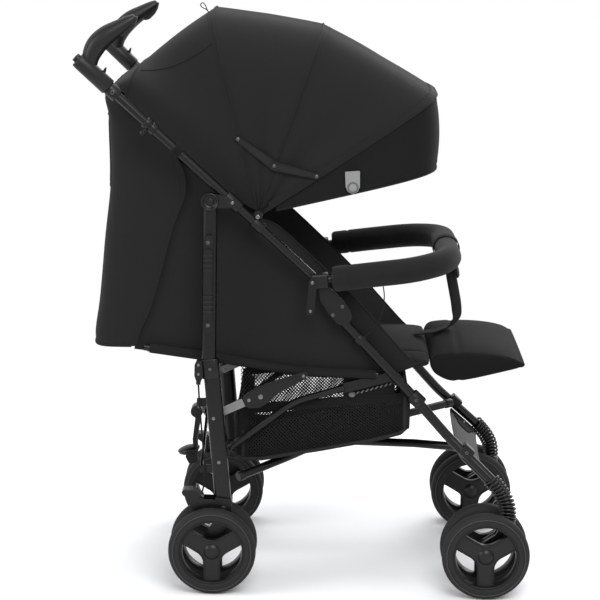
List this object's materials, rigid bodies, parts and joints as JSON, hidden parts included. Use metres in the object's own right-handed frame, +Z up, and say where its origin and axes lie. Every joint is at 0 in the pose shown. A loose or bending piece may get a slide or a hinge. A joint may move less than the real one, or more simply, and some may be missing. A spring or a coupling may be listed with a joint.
{
  "type": "pushchair",
  "caption": "Umbrella-fold pushchair with reclined fabric seat, hooped canopy, foam bumper bar, sprung swivel casters, twin wheels and a net basket below.",
  "frame": {"origin": "on the floor, under the middle of the part's bounding box", "axes": "+X forward, in the direction of travel; +Y to the child's left; +Z up"},
  "size_m": [0.8238, 0.533, 1.0496],
  "materials": {
    "tube": "satin",
    "plastic": "matte",
    "cloth": "matte",
    "foam": "matte",
    "grip": "matte",
    "tyre": "matte",
    "steel": "satin",
    "strap": "matte",
    "mesh": "matte"
  },
  "bodies": {
    "front_frame": {"push_tube_r": "tube", "push_tube_l": "tube", "hinge_hub_r": "plastic", "hinge_hub_l": "plastic", "front_leg_r": "tube", "front_leg_l": "tube", "caster_spring_r": "steel", "caster_spring_l": "steel", "seat_side_frame_r": "tube", "seat_side_frame_l": "tube", "lower_cross_bar_a": "tube", "lower_cross_bar_b": "tube", "foot_strap": "strap", "seat_pad": "cloth", "side_panel_r": "cloth", "side_panel_l": "cloth", "canopy_rear": "cloth", "rear_bow": "plastic", "basket": "mesh", "crotch_strap": "cloth", "elastic_cord": "plastic", "rear_panel": "cloth", "canopy_middle": "cloth"},
    "rear_frame": {"rear_leg_r": "tube", "rear_leg_l": "tube", "rear_cross_bar_a": "tube", "rear_cross_bar_b": "tube", "carry_handle": "plastic"},
    "canopy_middle_bow": {"middle_bow": "plastic"},
    "canopy_front_bow": {"front_bow": "plastic", "visor": "cloth", "canopy_front": "cloth"},
    "back_board": {"backrest": "cloth"},
    "leg_board": {"footrest": "cloth"},
    "bumper": {"bumper_bar": "foam"},
    "release_pedal": {"fold_pedal": "plastic"},
    "side_link_r": {"lock_strut_r": "steel", "knuckle_arm_r": "plastic"},
    "stay_upper_r": {"stay_upper_r": "plastic"},
    "stay_lower_r": {"stay_lower_r": "plastic"},
    "handle_r": {"handle_grip_r": "grip"},
    "button_r": {"handle_button_r": "plastic"},
    "caster_r": {"caster_fork_r": "plastic"},
    "brake_r": {"brake_pedal_r": "plastic"},
    "wheel_rear_outer_r": {"wheel_rear_outer_r": "tyre"},
    "wheel_rear_inner_r": {"wheel_rear_inner_r": "tyre"},
    "wheel_front_outer_r": {"wheel_front_outer_r": "tyre"},
    "wheel_front_inner_r": {"wheel_front_inner_r": "tyre"},
    "side_link_l": {"lock_strut_l": "steel", "knuckle_arm_l": "plastic"},
    "stay_upper_l": {"stay_upper_l": "plastic"},
    "stay_lower_l": {"stay_lower_l": "plastic"},
    "handle_l": {"handle_grip_l": "grip"},
    "button_l": {"handle_button_l": "plastic"},
    "caster_l": {"caster_fork_l": "plastic"},
    "brake_l": {"brake_pedal_l": "plastic"},
    "wheel_rear_outer_l": {"wheel_rear_outer_l": "tyre"},
    "wheel_rear_inner_l": {"wheel_rear_inner_l": "tyre"},
    "wheel_front_outer_l": {"wheel_front_outer_l": "tyre"},
    "wheel_front_inner_l": {"wheel_front_inner_l": "tyre"}
  },
  "joints": [
    {"name": "fold", "type": "hinge", "parent": "front_frame", "child": "rear_frame", "pos_m": [-0.17209, 0, 0.719], "axis": [0, 1, 0], "range_deg": [-28, 0], "deforming": ["basket"]},
    {"name": "canopy_fold", "type": "hinge", "parent": "front_frame", "child": "canopy_middle_bow", "pos_m": [-0.08709, 0, 0.692], "axis": [0, 1, 0], "range_deg": [-27, 0], "deforming": ["canopy_middle"]},
    {"name": "canopy_front_fold", "type": "hinge", "parent": "canopy_middle_bow", "child": "canopy_front_bow", "pos_m": [-0.08709, 0, 0.692], "axis": [0, 1, 0], "range_deg": [-31.05, 0], "deforming": ["canopy_front"]},
    {"name": "recline", "type": "hinge", "parent": "front_frame", "child": "back_board", "pos_m": [0.04561, 0, 0.4195], "axis": [0, 1, 0], "range_deg": [0, 55], "deforming": ["rear_panel"]},
    {"name": "footrest_tilt", "type": "hinge", "parent": "front_frame", "child": "leg_board", "pos_m": [0.22841, 0, 0.409], "axis": [0, 1, 0], "range_deg": [0, 40]},
    {"name": "bumper_pull", "type": "slide", "parent": "front_frame", "child": "bumper", "axis": [0.9958, 0, 0.0914], "range_m": [0, 0.06], "deforming": ["crotch_strap", "elastic_cord"]},
    {"name": "release_pedal_press", "type": "hinge", "parent": "rear_frame", "child": "release_pedal", "pos_m": [-0.20809, 0, 0.2845], "axis": [0, 1, 0], "range_deg": [0, 20], "stiffness_Nm_per_rad": 0.6},
    {"name": "side_link_turn_r", "type": "hinge", "parent": "rear_frame", "child": "side_link_r", "pos_m": [-0.16509, -0.1945, 0.322], "axis": [0, 1, 0], "range_deg": [0, 44.7]},
    {"name": "stay_upper_turn_r", "type": "hinge", "parent": "front_frame", "child": "stay_upper_r", "pos_m": [-0.12409, -0.191, 0.828], "axis": [0, 1, 0], "range_deg": [0, 56.2]},
    {"name": "stay_lower_turn_r", "type": "hinge", "parent": "canopy_front_bow", "child": "stay_lower_r", "pos_m": [0.01691, -0.194, 0.763], "axis": [0, 1, 0], "range_deg": [-19, 0]},
    {"name": "handle_turn_r", "type": "hinge", "parent": "front_frame", "child": "handle_r", "pos_m": [-0.34909, -0.236, 0.9215], "axis": [0.7265, 0.0837, -0.682], "range_deg": [0, 90]},
    {"name": "handle_button_press_r", "type": "slide", "parent": "handle_r", "child": "button_r", "axis": [0.7265, 0.0837, -0.682], "range_m": [0, 0.003], "stiffness_N_per_m": 400},
    {"name": "swivel_r", "type": "hinge", "parent": "front_frame", "child": "caster_r", "pos_m": [0.37291, -0.2175, 0.138], "axis": [0, 0, 1], "continuous": true},
    {"name": "brake_press_r", "type": "hinge", "parent": "rear_frame", "child": "brake_r", "pos_m": [-0.16009, -0.2065, 0.164], "axis": [0, 1, 0], "range_deg": [-20, 0]},
    {"name": "wheel_rear_outer_r_spin", "type": "hinge", "parent": "rear_frame", "child": "wheel_rear_outer_r", "pos_m": [-0.16609, -0.24, 0.08], "axis": [0, 1, 0], "continuous": true},
    {"name": "wheel_rear_inner_r_spin", "type": "hinge", "parent": "rear_frame", "child": "wheel_rear_inner_r", "pos_m": [-0.16609, -0.173, 0.08], "axis": [0, 1, 0], "continuous": true},
    {"name": "wheel_front_outer_r_spin", "type": "hinge", "parent": "caster_r", "child": "wheel_front_outer_r", "pos_m": [0.33191, -0.251, 0.08], "axis": [0, 1, 0], "continuous": true},
    {"name": "wheel_front_inner_r_spin", "type": "hinge", "parent": "caster_r", "child": "wheel_front_inner_r", "pos_m": [0.33191, -0.184, 0.08], "axis": [0, 1, 0], "continuous": true},
    {"name": "side_link_turn_l", "type": "hinge", "parent": "rear_frame", "child": "side_link_l", "pos_m": [-0.16509, 0.1945, 0.322], "axis": [0, 1, 0], "range_deg": [0, 44.7]},
    {"name": "stay_upper_turn_l", "type": "hinge", "parent": "front_frame", "child": "stay_upper_l", "pos_m": [-0.12409, 0.191, 0.828], "axis": [0, 1, 0], "range_deg": [0, 56.2]},
    {"name": "stay_lower_turn_l", "type": "hinge", "parent": "canopy_front_bow", "child": "stay_lower_l", "pos_m": [0.01691, 0.194, 0.763], "axis": [0, 1, 0], "range_deg": [-19, 0]},
    {"name": "handle_turn_l", "type": "hinge", "parent": "front_frame", "child": "handle_l", "pos_m": [-0.34909, 0.236, 0.9215], "axis": [0.7265, -0.0837, -0.682], "range_deg": [-90, 0]},
    {"name": "handle_button_press_l", "type": "slide", "parent": "handle_l", "child": "button_l", "axis": [0.7265, -0.0837, -0.682], "range_m": [0, 0.003], "stiffness_N_per_m": 400},
    {"name": "swivel_l", "type": "hinge", "parent": "front_frame", "child": "caster_l", "pos_m": [0.37291, 0.2175, 0.138], "axis": [0, 0, 1], "continuous": true},
    {"name": "brake_press_l", "type": "hinge", "parent": "rear_frame", "child": "brake_l", "pos_m": [-0.16009, 0.2065, 0.164], "axis": [0, 1, 0], "range_deg": [-20, 0]},
    {"name": "wheel_rear_outer_l_spin", "type": "hinge", "parent": "rear_frame", "child": "wheel_rear_outer_l", "pos_m": [-0.16609, 0.24, 0.08], "axis": [0, 1, 0], "continuous": true},
    {"name": "wheel_rear_inner_l_spin", "type": "hinge", "parent": "rear_frame", "child": "wheel_rear_inner_l", "pos_m": [-0.16609, 0.173, 0.08], "axis": [0, 1, 0], "continuous": true},
    {"name": "wheel_front_outer_l_spin", "type": "hinge", "parent": "caster_l", "child": "wheel_front_outer_l", "pos_m": [0.33191, 0.251, 0.08], "axis": [0, 1, 0], "continuous": true},
    {"name": "wheel_front_inner_l_spin", "type": "hinge", "parent": "caster_l", "child": "wheel_front_inner_l", "pos_m": [0.33191, 0.184, 0.08], "axis": [0, 1, 0], "continuous": true}
  ],
  "couplings": [
    {"joint": "side_link_turn_r", "follows": "fold", "ratio": -1.5929},
    {"joint": "stay_upper_turn_r", "follows": "canopy_fold", "ratio": -2.0778},
    {"joint": "stay_lower_turn_r", "follows": "canopy_fold", "ratio": 0.7},
    {"joint": "side_link_turn_l", "follows": "fold", "ratio": -1.5929},
    {"joint": "stay_upper_turn_l", "follows": "canopy_fold", "ratio": -2.0778},
    {"joint": "stay_lower_turn_l", "follows": "canopy_fold", "ratio": 0.7},
    {"joint": "canopy_front_fold", "follows": "canopy_fold", "ratio": 1.1481}
  ]
}
